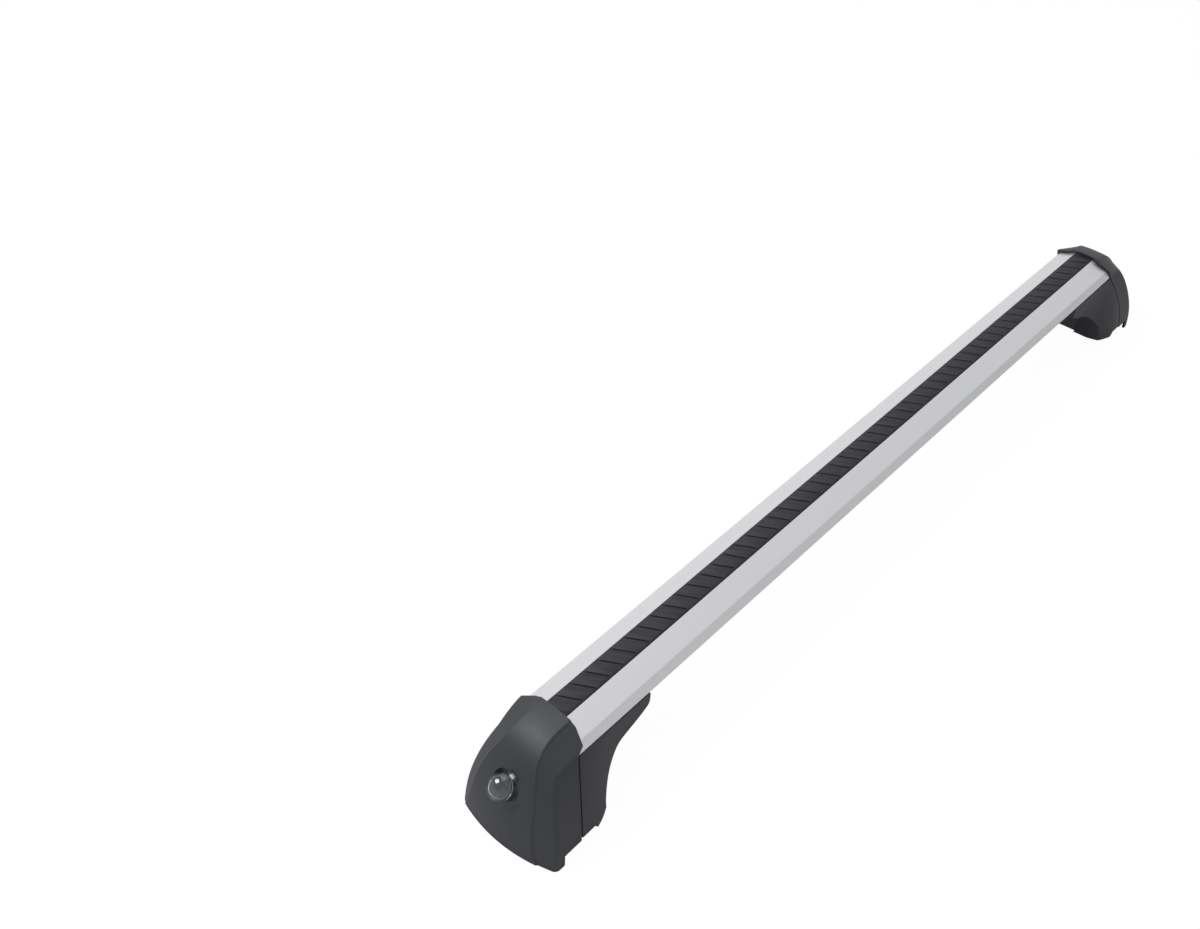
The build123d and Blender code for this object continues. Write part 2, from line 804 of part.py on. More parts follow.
def make_bracket():
    """The cast bracket: a saddle under the bar, two cheeks, a front wall, a base and a claw."""
    inner = jaw_width / 2 + jaw_guide_gap
    outer = inner + cheek_wall
    floor = -base_plate_drop - base_plate
    wall_back = front_wall_u + front_wall
    cheek_face = side_face(
        Polyline(
            (front_wall_u, floor),
            (front_wall_u, -front_wall_top),
            (-front_wall, -bar_height - saddle_thickness),
            (0, -bar_height),
            (saddle_end, -bar_height),
            (saddle_end, -bar_height - saddle_thickness),
            (cheek_arm_u, -bar_height - cheek_arm_depth),
            (cheek_bend_u, -bar_height - cheek_bend_depth),
            (cheek_leg_u, -base_plate_drop + cheek_leg_height),
            (base_plate_end, -base_plate_drop + cheek_foot_height),
            (base_plate_end, floor),
            close=True,
        )
    )
    bracket = side_prism(cheek_face, 2 * outer) - side_prism(cheek_face, 2 * inner)
    bracket += Pos(front_wall_u, 0, floor) * Box(
        front_wall,
        2 * outer,
        -front_wall_top - floor,
        align=(Align.MIN, Align.CENTER, Align.MIN),
    )
    bracket += Pos(0, 0, -bar_height) * Box(
        saddle_end, 2 * outer, saddle_thickness, align=(Align.MIN, Align.CENTER, Align.MAX)
    )
    bracket += disc(clamp_plane(), 0, clamp_boss_length, clamp_boss_diameter)
    bracket += base_layer(-base_plate_drop, base_plate)
    bracket += Pos(base_plate_start, 0, -base_plate_drop) * Box(
        claw_wall,
        claw_width,
        claw_drop - base_plate_drop,
        align=(Align.MAX, Align.CENTER, Align.MAX),
    )
    bolt_hole = bolt_diameter + 2 * bolt_hole_gap
    bracket -= disc(clamp_plane(), -clamp_boss_length, 3 * clamp_boss_length, bolt_hole)
    washer_hole = washer_diameter + 2 * bolt_hole_gap
    bracket -= disc(clamp_plane(), -clamp_boss_length, clamp_boss_length, washer_hole)
    lock = lock_plane()
    cam_middle = lock.from_local_coords((0, 0, cam_start() + cam_thickness / 2))
    slot_width_y = cam_reach + cam_width / 2 + 2 * cam_gap
    bracket -= Pos(wall_back, cam_width / 2 + cam_gap, cam_middle.Z) * Box(
        3 * front_wall,
        slot_width_y,
        cam_width + 2 * cam_gap,
        align=(Align.CENTER, Align.MAX, Align.CENTER),
    )
    for hole_u in bar_bolt_places():
        bracket -= Pos(hole_u, 0, -bar_height) * Cylinder(
            bar_bolt_diameter / 2 + bar_bolt_clearance, 4 * saddle_thickness
        )
    for side in (-1, 1):
        bracket -= shell_screw(side)
    return bracket


def base_layer(top, thickness):
    """A flat layer over the foot's base, open in the middle where the jaw travels."""
    inset = housing_wall + base_margin
    back = [(base_plate_end, corner_start - inset)]
    back += [(base_plate_end - setback, reach - inset) for reach, setback in corner_stations]
    back.append((base_plate_start, 2 * foot_front_reach))
    front = [(u, -y) for u, y in reversed(back)]
    plan = make_face(Polyline(*back, *front, close=True))
    layer = flank(inset) & Pos(0, 0, top) * extrude(plan, -thickness)
    channel = Pos(front_wall_u + front_wall, 0, top) * Box(
        foot_front_reach,
        jaw_width + 2 * jaw_guide_gap,
        3 * thickness,
        align=(Align.MIN, Align.CENTER, Align.CENTER),
    )
    return layer - channel


def make_base_pad():
    """The rubber pad under the bracket's base, which rests on the vehicle's rail."""
    pad = base_layer(-base_plate_drop - base_plate, pad_thickness)
    return pad - Pos(base_plate_start, 0, -top_height) * Box(
        pad_claw_gap,
        4 * foot_front_reach,
        top_height,
        align=(Align.MIN, Align.CENTER, Align.MIN),
    )


def make_nut_plate():
    """The threaded plate in the bar's lower channel."""
    length = bar_bolt_spacing + 2 * nut_plate_margin
    middle = bar_bolt_first + bar_bolt_spacing / 2
    plate = Pos(middle, 0, -bar_height + bar_wall) * Box(
        length, nut_plate_width, nut_plate_thickness, align=(Align.CENTER, Align.CENTER, Align.MIN)
    )
    for hole_u in bar_bolt_places():
        plate -= Pos(hole_u, 0, -bar_height) * Cylinder(bar_bolt_diameter / 2, bar_height)
    return plate


def make_bar_bolts():
    """The two socket screws that pull the bar down onto the bracket's saddle."""
    length = saddle_thickness + bar_wall + nut_plate_thickness + bar_bolt_clearance
    screws = []
    for hole_u in bar_bolt_places():
        plane = Plane(origin=(hole_u, 0, -bar_height - saddle_thickness), z_dir=(0, 0, 1))
        screws.append(
            socket_screw(
                plane,
                0,
                length,
                bar_bolt_diameter,
                bar_bolt_head_diameter,
                bar_bolt_head_height,
                bar_bolt_socket,
                bar_bolt_socket_depth,
            )
        )
    return Compound(children=screws)


def shell_screw(side):
    """One countersunk screw down through the saddle into the housing's boss."""
    head_height = (shell_screw_head_diameter - shell_screw_diameter) / 2
    place = Pos(shell_screw_u, side * shell_screw_y, -bar_height)
    head = Cone(
        shell_screw_diameter / 2,
        shell_screw_head_diameter / 2,
        head_height,
        align=(Align.CENTER, Align.CENTER, Align.MAX),
    )
    shank = Cylinder(
        shell_screw_diameter / 2, shell_screw_length, align=(Align.CENTER, Align.CENTER, Align.MAX)
    )
    return place * (head + shank)


def make_housing_screws():
    """The two screws that hold the housing to the bracket."""
    return Compound(children=[shell_screw(-1), shell_screw(1)])


# The bar's middle lies this far behind the middle of the feet, which reach further in front.
bar_setback = (foot_front_reach - foot_back_reach) / 2


def both_sides(name, solid):
    """Writes a foot piece at each end of the bar, the second as a mirror image."""
    left = Pos(-bar_length / 2, bar_setback, top_height) * solid
    export_step(left, f"parts/{name}_left.step")
    export_step(mirror(left, about=Plane.YZ), f"parts/{name}_right.step")


export_step(Pos(0, bar_setback, top_height) * make_bar(), "parts/bar.step")
export_step(Pos(0, bar_setback, top_height) * make_strip(), "parts/slot_strip.step")
both_sides("end_cover", make_cover())
both_sides("foot_housing", make_housing())
both_sides("foot_bracket", make_bracket())
both_sides("base_pad", make_base_pad())
both_sides("nut_plate", make_nut_plate())
both_sides("bar_bolts", make_bar_bolts())
both_sides("housing_screws", make_housing_screws())
both_sides("lock_barrel", make_lock_barrel())
both_sides("lock_clip", make_lock_clip())
both_sides("lock_cam", make_lock_cam())
both_sides("cam_screw", make_cam_screw())
both_sides("dust_cap", make_dust_cap())
both_sides("cap_pin", make_cap_pin())
both_sides("clamp_bolt", make_clamp_bolt())
both_sides("bolt_clip", make_bolt_clip())
both_sides("clamp_washer", make_clamp_washer())
both_sides("clamp_jaw", make_clamp_jaw())
both_sides("jaw_cap", make_jaw_cap())
both_sides("jaw_nut", make_jaw_nut())
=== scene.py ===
import json
from math import cos, pi, radians, sin

import bmesh
import bpy
from bpy.props import FloatProperty, FloatVectorProperty, IntProperty, PointerProperty
from bpy.types import Operator, Panel, PropertyGroup
from mathutils import Matrix, Vector


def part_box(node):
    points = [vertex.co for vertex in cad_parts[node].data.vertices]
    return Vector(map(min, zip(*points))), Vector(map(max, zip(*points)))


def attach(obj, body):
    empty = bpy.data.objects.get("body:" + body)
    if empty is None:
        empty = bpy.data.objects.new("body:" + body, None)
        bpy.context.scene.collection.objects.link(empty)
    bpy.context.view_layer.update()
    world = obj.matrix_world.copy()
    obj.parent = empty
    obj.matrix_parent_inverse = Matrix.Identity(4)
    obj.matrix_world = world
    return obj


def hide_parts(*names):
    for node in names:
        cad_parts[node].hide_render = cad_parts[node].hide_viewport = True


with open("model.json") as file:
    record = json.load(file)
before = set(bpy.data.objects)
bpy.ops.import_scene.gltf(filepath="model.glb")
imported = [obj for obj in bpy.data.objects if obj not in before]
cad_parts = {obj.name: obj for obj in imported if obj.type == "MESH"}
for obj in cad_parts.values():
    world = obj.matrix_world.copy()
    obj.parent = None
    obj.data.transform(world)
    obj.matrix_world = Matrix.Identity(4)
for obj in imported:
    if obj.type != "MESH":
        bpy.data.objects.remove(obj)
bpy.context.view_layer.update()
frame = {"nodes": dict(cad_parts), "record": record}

bl_info = {
    "name": "Roof rack crossbar",
    "version": (1, 0, 0),
    "blender": (4, 5, 0),
    "location": "3D View > Sidebar > Crossbar",
    "description": "Dresses a flush roof rack crossbar with its finishes, small parts and stage",
    "category": "Object",
}

SIDES = ("left", "right")

# Where the clamp bolt's head seats from its joint, and the parts of both kinds of screw, in metres.
CLAMP_SEAT = 0.0019
CLAMP_HEAD_HEIGHT = 0.008
CLAMP_PLAIN = 0.0145
CLAMP_REACH = 0.0489
BAR_HEAD_HEIGHT = 0.006
BAR_PLAIN = 0.0045

# A screw's head: its chamfer as a share of its width, its socket's depth as a share of its
# height, and the sides of the socket.
HEAD_CHAMFER = 0.06
SOCKET_DEPTH = 0.55
SOCKET_SIDES = 6

# A thread in pitches: the width of its ridge, and how deep the ridge's buried root and the core's
# surface lie under its crest.
RIDGE_WIDTH = 0.96
RIDGE_ROOT = 0.62
CORE_DEPTH = 0.55

# Edges that turn by less are shaded smooth, and points nearer than this, in metres, are one.
SMOOTH_TURN = radians(28)
SAME_POINT = 1e-6

# More vertices than a screw can have.
VERTEX_SPAN = 100000.0

# The strip's streaks: how much slower they change along a groove than across it, the limits of
# the noise that they are taken from, and their share of the relief.
STREAK_STRETCH = 0.12
STREAK_NOISE = (0.36, 0.66)
STREAK_HEIGHT = 0.4

# The strip's colour: what the streaks add, the painted shading over each land, the painted light's
# share at the near edge, and how sharply the painted shade in the near margin and grooves sets in.
STREAK_TONE = 0.55
PAINTED_LAND_SHADING = (0.55, 0.25)
PAINTED_NEAR_SHADE = 0.4
MARGIN_SHADE_SHARPNESS = 3.0
GROOVE_SHADE_SHARPNESS = 3.5

# The room's level at its darkest and its brightest, the way to its brightest part behind the bar,
# and the white that the camera sees on the floor.
ROOM_LEVEL = (0.50, 0.80)
BRIGHT_WALL = (0.6, 1.0, 0.7)
SEEN_GLOW = 1.04

# The floor's half width and its drop below the feet, in metres.
FLOOR_REACH = 12.0
FLOOR_DROP = 0.0004

# Each lamp's name, place, target, size in metres and power in watts.
LAMPS = (
    ("overhead_lamp", (0.2, 0.5, 2.4), (0, 0, 0), 1.6, 12.0),
    ("end_lamp", (-1.35, 0.85, 1.9), (-0.47, 0, 0.08), 0.7, 20.0),
)


def colour(name, description, default):
    """A linear colour that a user may change."""
    return FloatVectorProperty(
        name=name, description=description, subtype="COLOR", min=0, max=1, default=default
    )


def share(name, description, default):
    """A value between 0 and 1 that a user may change."""
    return FloatProperty(
        name=name, description=description, subtype="FACTOR", min=0, max=1, default=default
    )


def length(name, description, default):
    """A size in metres that a user may change."""
    return FloatProperty(
        name=name, description=description, unit="LENGTH", min=0.0001, default=default
    )


class CrossbarFinish(PropertyGroup):
    """The colours and gloss of the crossbar's materials."""

    aluminium: colour("Aluminium", "Colour of the anodised bar", (0.895, 0.90, 0.92))
    aluminium_roughness: share("Aluminium roughness", "Gloss of the anodised bar", 0.42)
    strip: colour("Strip", "Colour of the rubber strip", (0.048, 0.049, 0.058))
    plastic: colour("Plastic", "Colour of the moulded feet", (0.032, 0.034, 0.043))
    plastic_roughness: share("Plastic roughness", "Gloss of the moulded feet", 0.44)
    # The lock barrels' near black is painted shade for the deep lock recess; the real barrel face is
    # metal.
    lock: colour("Lock", "Colour of the blackened lock barrels", (0.020, 0.020, 0.021))
    casting: colour("Casting", "Colour of the coated castings", (0.030, 0.030, 0.032))
    steel: colour("Steel", "Colour of the zinc plated screws", (0.62, 0.63, 0.65))
    pad: colour("Pad", "Colour of the rubber pads", (0.018, 0.018, 0.019))


class CrossbarScrews(PropertyGroup):
    """The sizes of the threaded screws in the feet."""

    clamp_thread: length("Clamp thread", "Outer diameter of the clamp bolt's thread", 0.008)
    clamp_pitch: length("Clamp pitch", "Advance of the clamp bolt in one turn", 0.00125)
    clamp_head: length("Clamp head", "Diameter of the clamp bolt's head", 0.013)
    clamp_socket: length("Clamp socket", "Width across the clamp bolt's hexagon socket", 0.006)
    bar_thread: length("Bar thread", "Outer diameter of the bar screws' thread", 0.006)
    bar_pitch: length("Bar pitch", "Advance of a bar screw in one turn", 0.001)
    bar_head: length("Bar head", "Diameter of the bar screws' heads", 0.010)
    bar_socket: length("Bar socket", "Width across the bar screws' hexagon sockets", 0.005)
    segments: IntProperty(
        name="Segments", description="Sides of a turned surface", default=48, min=12, max=96
    )


class CrossbarStage(PropertyGroup):
    """The camera, lamps and floor around the crossbar."""

    camera_place: FloatVectorProperty(
        name="Camera place",
        description="Where the camera stands",
        subtype="TRANSLATION",
        unit="LENGTH",
        default=(-0.8849, -0.41885, 0.9273),
    )
    camera_yaw: FloatProperty(
        name="Camera yaw",
        description="Heading of the view, from the bar's direction",
        subtype="ANGLE",
        default=radians(41.89),
    )
    camera_pitch: FloatProperty(
        name="Camera pitch",
        description="How far the view looks down",
        subtype="ANGLE",
        default=radians(42.65),
    )
    camera_roll: FloatProperty(
        name="Camera roll",
        description="Turn of the view about its own axis",
        subtype="ANGLE",
        default=radians(1.20),
    )
    lens: FloatProperty(
        name="Lens", description="Focal length on a 36 mm sensor", unit="CAMERA", default=37.19
    )
    floor: colour("Floor", "Colour of the floor", (0.56, 0.56, 0.56))
    floor_glow: share("Floor glow", "Share of plain white that the camera sees on the floor", 0.93)


# Shader building blocks


def node(tree, kind, **values):
    """Adds a shader node and sets its properties and its inputs' values."""
    made = tree.nodes.new(kind)
    for name, value in values.items():
        if name in made.inputs:
            made.inputs[name].default_value = value
        else:
            setattr(made, name, value)
    return made


def calc(tree, operation, *values):
    """A math node fed by numbers or by other nodes' outputs; gives its output."""
    made = node(tree, "ShaderNodeMath", operation=operation)
    for socket, value in zip(made.inputs, values):
        if isinstance(value, bpy.types.NodeSocket):
            tree.links.new(value, socket)
        else:
            socket.default_value = value
    return made.outputs[0]


def effect_group(name, inputs, outputs):
    """An empty node group with float inputs and outputs; gives the tree and its two ends."""
    tree = bpy.data.node_groups.new(name, "ShaderNodeTree")
    tree.interface.new_socket("Vector", in_out="INPUT", socket_type="NodeSocketVector")
    for label, default in inputs:
        socket = tree.interface.new_socket(label, in_out="INPUT", socket_type="NodeSocketFloat")
        socket.default_value = default
    for label in outputs:
        tree.interface.new_socket(label, in_out="OUTPUT", socket_type="NodeSocketFloat")
    return tree, tree.nodes.new("NodeGroupInput"), tree.nodes.new("NodeGroupOutput")


def streaks_group():
    """Fine lines that run along the bar, as an extrusion or a drawn rubber profile has them."""
    tree, start, end = effect_group(
        "drawn_streaks", (("Lines per metre", 900.0), ("Stretch", 0.01)), ("Height", "Mask")
    )
    stretch = node(tree, "ShaderNodeCombineXYZ", Y=1.0, Z=1.0)
    scaled = node(tree, "ShaderNodeVectorMath", operation="MULTIPLY")
    fine = node(tree, "ShaderNodeTexNoise", Detail=3.0, Roughness=0.6)
    broad = node(tree, "ShaderNodeTexNoise", Scale=60.0, Detail=2.0)
    link = tree.links.new
    link(start.outputs["Stretch"], stretch.inputs["X"])
    link(start.outputs["Vector"], scaled.inputs[0])
    link(stretch.outputs[0], scaled.inputs[1])
    link(scaled.outputs[0], fine.inputs["Vector"])
    link(start.outputs["Lines per metre"], fine.inputs["Scale"])
    link(scaled.outputs[0], broad.inputs["Vector"])
    link(fine.outputs["Fac"], end.inputs["Height"])
    link(broad.outputs["Fac"], end.inputs["Mask"])
    return tree


def ranged(tree, value, source, target=(0.0, 1.0)):
    """Maps a value from one pair of limits to another, held between them; gives the output."""
    made = node(tree, "ShaderNodeMapRange")
    for label, limit in zip(("From Min", "From Max", "To Min", "To Max"), (*source, *target)):
        made.inputs[label].default_value = limit
    tree.links.new(value, made.inputs["Value"])
    return made.outputs["Result"]


def groove_streaks(tree, start, along, across):
    """Streaks that follow the strip's slanted grooves, from 0 to 1."""
    place = node(tree, "ShaderNodeCombineXYZ")
    noise = node(tree, "ShaderNodeTexNoise", Detail=3.0, Roughness=0.6)
    link = tree.links.new
    link(along, place.inputs["X"])
    link(calc(tree, "MULTIPLY", across, STREAK_STRETCH), place.inputs["Y"])
    link(place.outputs[0], noise.inputs["Vector"])
    link(start.outputs["Streaks per metre"], noise.inputs["Scale"])
    return ranged(tree, noise.outputs["Fac"], STREAK_NOISE)


def painted_edge_shade(tree, start, across):
    """Painted shade in the strip's near margin, then painted light rising towards the far edge."""
    half = start.outputs["Half width"]
    inward = calc(tree, "ADD", across, half)
    # Painted shade in the near margin.
    margin = calc(tree, "MINIMUM", calc(tree, "DIVIDE", inward, start.outputs["Margin"]), 1.0)
    margin = calc(tree, "POWER", margin, MARGIN_SHADE_SHARPNESS)
    # Painted light that rises from the near edge to the far edge.
    way = calc(tree, "DIVIDE", inward, calc(tree, "ADD", half, half))
    painted_light_fall_off = calc(tree, "MULTIPLY_ADD", way, 1 - PAINTED_NEAR_SHADE, PAINTED_NEAR_SHADE)
    return calc(tree, "MULTIPLY", painted_light_fall_off, margin)


def tread_group():
    """Streaked lands between slanted grooves, with painted shade on each land, grooves and near edge.
    """
    settings = (
        ("Pitch", 0.0167),
        ("Slant", 0.5914),
        ("Middle", 0.0),
        ("Half width", 0.0112),
        ("Margin", 0.0027),
        ("Streaks per metre", 300.0),
    )
    tree, start, end = effect_group("slanted_tread_and_painted_shade", settings, ("Height", "Mask"))
    parts = node(tree, "ShaderNodeSeparateXYZ")
    tree.links.new(start.outputs["Vector"], parts.inputs[0])
    across = calc(tree, "SUBTRACT", parts.outputs["Y"], start.outputs["Middle"])
    along = calc(tree, "MULTIPLY_ADD", across, start.outputs["Slant"], parts.outputs["X"])
    turns = calc(tree, "DIVIDE", along, start.outputs["Pitch"])
    land = calc(tree, "FRACT", calc(tree, "ADD", turns, 0.5))
    pillow = calc(tree, "SINE", calc(tree, "MULTIPLY", land, pi))
    streak = groove_streaks(tree, start, along, across)
    raised = calc(tree, "MULTIPLY", pillow, 1 - STREAK_HEIGHT)
    height = calc(tree, "MULTIPLY_ADD", streak, STREAK_HEIGHT, raised)
    # Painted shading across each land, the streaks' own colour added, then the painted edge shading.
    first, last = PAINTED_LAND_SHADING
    streaks_and_painted_shade = calc(tree, "MULTIPLY_ADD", land, last - first, first)
    streaks_and_painted_shade = calc(tree, "MULTIPLY_ADD", streak, STREAK_TONE, streaks_and_painted_shade)
    streaks_and_painted_shade = calc(tree, "MULTIPLY", streaks_and_painted_shade, painted_edge_shade(tree, start, across))
    # Painted shade in the grooves.
    groove = calc(tree, "MINIMUM", calc(tree, "MULTIPLY", pillow, GROOVE_SHADE_SHARPNESS), 1.0)
    tree.links.new(height, end.inputs["Height"])
    tree.links.new(calc(tree, "MULTIPLY", streaks_and_painted_shade, groove), end.inputs["Mask"])
    return tree


def grain_group():
    """The fine grain of a moulded or cast surface, with a slow cloudiness over it."""
    tree, start, end = effect_group(
        "moulded_grain", (("Grains per metre", 1800.0), ("Clouds per metre", 14.0)), ("Height", "Mask")
    )
    pits = node(tree, "ShaderNodeTexVoronoi", feature="SMOOTH_F1", Smoothness=0.6)
    fine = node(tree, "ShaderNodeTexNoise", Detail=2.0)
    fine_share = 0.4
    clouds = node(tree, "ShaderNodeTexNoise", Detail=3.0, Roughness=0.55)
    link = tree.links.new
    for texture in (pits, fine):
        link(start.outputs["Vector"], texture.inputs["Vector"])
        link(start.outputs["Grains per metre"], texture.inputs["Scale"])
    link(start.outputs["Vector"], clouds.inputs["Vector"])
    link(start.outputs["Clouds per metre"], clouds.inputs["Scale"])
    skin = calc(tree, "MULTIPLY_ADD", fine.outputs["Fac"], fine_share, pits.outputs["Distance"])
    link(skin, end.inputs["Height"])
    link(clouds.outputs["Fac"], end.inputs["Mask"])
    return tree


def shared_effect(name, build):
    """The node group of that name, built on its first use."""
    return bpy.data.node_groups.get(name) or build()


def blank_material(name):
    """A material with one Principled surface; gives the material, its tree and the surface."""
    material = bpy.data.materials.new(name)
    material.use_nodes = True
    tree = material.node_tree
    return material, tree, tree.nodes["Principled BSDF"]


def textured_material(
    name, base, effect, settings, shade, smooth, rough, bump, metallic=0.0, specular=0.5
):
    """A material whose colour, roughness and bump follow one shared effect.

    shade is the darker share of the colour, smooth and rough the limits of the roughness, and
    bump the height of the relief in metres.
    """
    material, tree, surface = blank_material(name)
    link = tree.links.new
    where = node(tree, "ShaderNodeTexCoord")
    group = node(tree, "ShaderNodeGroup", node_tree=effect)
    for label, value in settings.items():
        group.inputs[label].default_value = value
    link(where.outputs["Object"], group.inputs["Vector"])
    blend = node(tree, "ShaderNodeMix", data_type="RGBA")
    blend.inputs["A"].default_value = (*[channel * shade for channel in base], 1)
    blend.inputs["B"].default_value = (*base, 1)
    link(group.outputs["Mask"], blend.inputs["Factor"])
    link(blend.outputs["Result"], surface.inputs["Base Color"])
    gloss = ranged(tree, group.outputs["Mask"], (0.0, 1.0), (smooth, rough))
    link(gloss, surface.inputs["Roughness"])
    relief = node(tree, "ShaderNodeBump", Strength=1.0, Distance=bump)
    link(group.outputs["Height"], relief.inputs["Height"])
    link(relief.outputs["Normal"], surface.inputs["Normal"])
    surface.inputs["Metallic"].default_value = metallic
    surface.inputs["Specular IOR Level"].default_value = specular
    return material


def anodised_aluminium(finish):
    """Satin anodised extrusion with very fine lines along it."""
    rough = finish.aluminium_roughness
    return textured_material(
        "anodised_aluminium",
        finish.aluminium,
        shared_effect("drawn_streaks", streaks_group),
        {"Lines per metre": 1400.0, "Stretch": 0.006},
        shade=0.965,
        smooth=rough - 0.03,
        rough=rough + 0.05,
        bump=0.00001,
        metallic=1.0,
    )


def strip_rubber(finish):
    """Matt rubber with short slanted streaks between the grooves, under painted shade and painted
    light.
    """
    low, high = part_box("slot_strip")
    return textured_material(
        "strip_rubber",
        finish.strip,
        shared_effect("slanted_tread_and_painted_shade", tread_group),
        {"Middle": (low[1] + high[1]) / 2},
        # The darkest painted shade, and the darkest streaks, as a share of the rubber's colour.
        shade=0.16,
        smooth=0.66,
        rough=0.48,
        bump=0.0006,
        specular=0.30,
    )


def moulded_plastic(finish):
    """Dark moulded plastic with a fine even grain."""
    rough = finish.plastic_roughness
    return textured_material(
        "moulded_plastic",
        finish.plastic,
        shared_effect("moulded_grain", grain_group),
        {"Grains per metre": 2600.0, "Clouds per metre": 22.0},
        shade=0.88,
        smooth=rough - 0.03,
        rough=rough + 0.06,
        bump=0.00005,
    )


def coated_casting(finish):
    """Cast metal under a black coat that keeps the casting's skin."""
    return textured_material(
        "coated_casting",
        finish.casting,
        shared_effect("moulded_grain", grain_group),
        {"Grains per metre": 900.0, "Clouds per metre": 60.0},
        shade=0.75,
        smooth=0.42,
        rough=0.62,
        bump=0.00012,
    )


def plated_steel(finish):
    """Zinc plated steel with a fine grain and faint clouds."""
    return textured_material(
        "plated_steel",
        finish.steel,
        shared_effect("moulded_grain", grain_group),
        {"Grains per metre": 4000.0, "Clouds per metre": 250.0},
        shade=0.80,
        smooth=0.24,
        rough=0.40,
        bump=0.00001,
        metallic=1.0,
    )


def lock_painted_shade(finish):
    """Satin metal whose near black colour is painted shade, the deep shade of the lock's recess."""
    return textured_material(
        "lock_painted_shade",
        finish.lock,
        shared_effect("moulded_grain", grain_group),
        {"Grains per metre": 3000.0, "Clouds per metre": 180.0},
        shade=0.70,
        smooth=0.34,
        rough=0.52,
        bump=0.00002,
        metallic=0.6,
    )


def pad_rubber(finish):
    """Dull black rubber."""
    return textured_material(
        "pad_rubber",
        finish.pad,
        shared_effect("moulded_grain", grain_group),
        {"Grains per metre": 1500.0, "Clouds per metre": 40.0},
        shade=0.80,
        smooth=0.74,
        rough=0.88,
        bump=0.00008,
    )


def clear_plastic():
    """Clear moulded plastic, faintly clouded by handling."""
    material, tree, surface = blank_material("clear_plastic")
    surface.inputs["Base Color"].default_value = (0.93, 0.95, 0.97, 1)
    surface.inputs["Transmission Weight"].default_value = 1.0
    surface.inputs["IOR"].default_value = 1.49
    where = node(tree, "ShaderNodeTexCoord")
    clouds = node(tree, "ShaderNodeTexNoise", Scale=300.0, Detail=3.0)
    tree.links.new(where.outputs["Object"], clouds.inputs["Vector"])
    gloss = ranged(tree, clouds.outputs["Fac"], (0.0, 1.0), (0.0, 0.05))
    tree.links.new(gloss, surface.inputs["Roughness"])
    return material


def dress(name, material):
    """Gives a CAD node its finish."""
    for slot in frame["nodes"][name].material_slots:
        slot.material = material


def dress_both(names, material):
    """Gives the same finish to a node of each foot."""
    for name in names:
        for side in SIDES:
            dress(f"{name}_{side}", material)


# Turned and threaded pieces


def lathe(shape, profile, segments):
    """Turns an open profile of radius and height about Z."""
    line = [shape.verts.new((radius, 0, height)) for radius, height in profile]
    edges = [shape.edges.new(pair) for pair in zip(line, line[1:])]
    bmesh.ops.spin(
        shape,
        geom=line + edges,
        cent=(0, 0, 0),
        axis=(0, 0, 1),
        angle=2 * pi,
        steps=segments,
        use_merge=True,
    )


def hexagon_socket(shape, width, top, depth, segments):
    """Closes a head's open top with a flat rim and a hexagonal hole."""
    open_edges = [edge for edge in shape.edges if edge.is_boundary]
    rim = [e for e in open_edges if all(abs(v.co.z - top) < SAME_POINT for v in e.verts)]
    radius = width / 2 / cos(pi / SOCKET_SIDES)
    ring = bmesh.ops.create_circle(shape, segments=SOCKET_SIDES, radius=radius)["verts"]
    bmesh.ops.translate(shape, vec=(0, 0, top), verts=ring)
    sides = list({edge for vert in ring for edge in vert.link_edges})
    bmesh.ops.subdivide_edges(shape, edges=sides, cuts=segments // SOCKET_SIDES - 1)
    hole = [edge for edge in shape.edges if edge.is_wire]
    bmesh.ops.bridge_loops(shape, edges=rim + hole)
    wall = bmesh.ops.extrude_edge_only(shape, edges=hole)["geom"]
    floor = [item for item in wall if isinstance(item, bmesh.types.BMVert)]
    bmesh.ops.translate(shape, vec=(0, 0, -depth), verts=floor)
    edges = [e for e in shape.edges if e.is_boundary and all(v in floor for v in e.verts)]
    bmesh.ops.holes_fill(shape, edges=edges, sides=segments)


def thread(shape, diameter, pitch, low, high, segments):
    """A helical ridge around Z, closed at both ends, whose root is buried in the core."""
    root = diameter / 2 - RIDGE_ROOT * pitch
    corners = ((root, low), (diameter / 2, low + pitch / 2), (root, low + RIDGE_WIDTH * pitch))
    line = [shape.verts.new((radius, 0, height)) for radius, height in corners]
    edges = [shape.edges.new((line[i], line[i - 1])) for i in range(len(line))]
    turns = int((high - low) / pitch) - 1
    made = bmesh.ops.spin(
        shape,
        geom=line + edges,
        cent=(0, 0, 0),
        axis=(0, 0, 1),
        dvec=(0, 0, pitch / segments),
        angle=2 * pi * turns,
        steps=turns * segments,
    )
    last = [item for item in made["geom_last"] if isinstance(item, bmesh.types.BMEdge)]
    for ends in (edges, last):
        bmesh.ops.contextual_create(shape, geom=ends)


def vertex_order(face):
    """A number made from a face's three lowest vertices, to sort faces by."""
    number = 0.0
    for index in sorted(vert.index for vert in face.verts)[:3]:
        number = number * VERTEX_SPAN + index
    return number


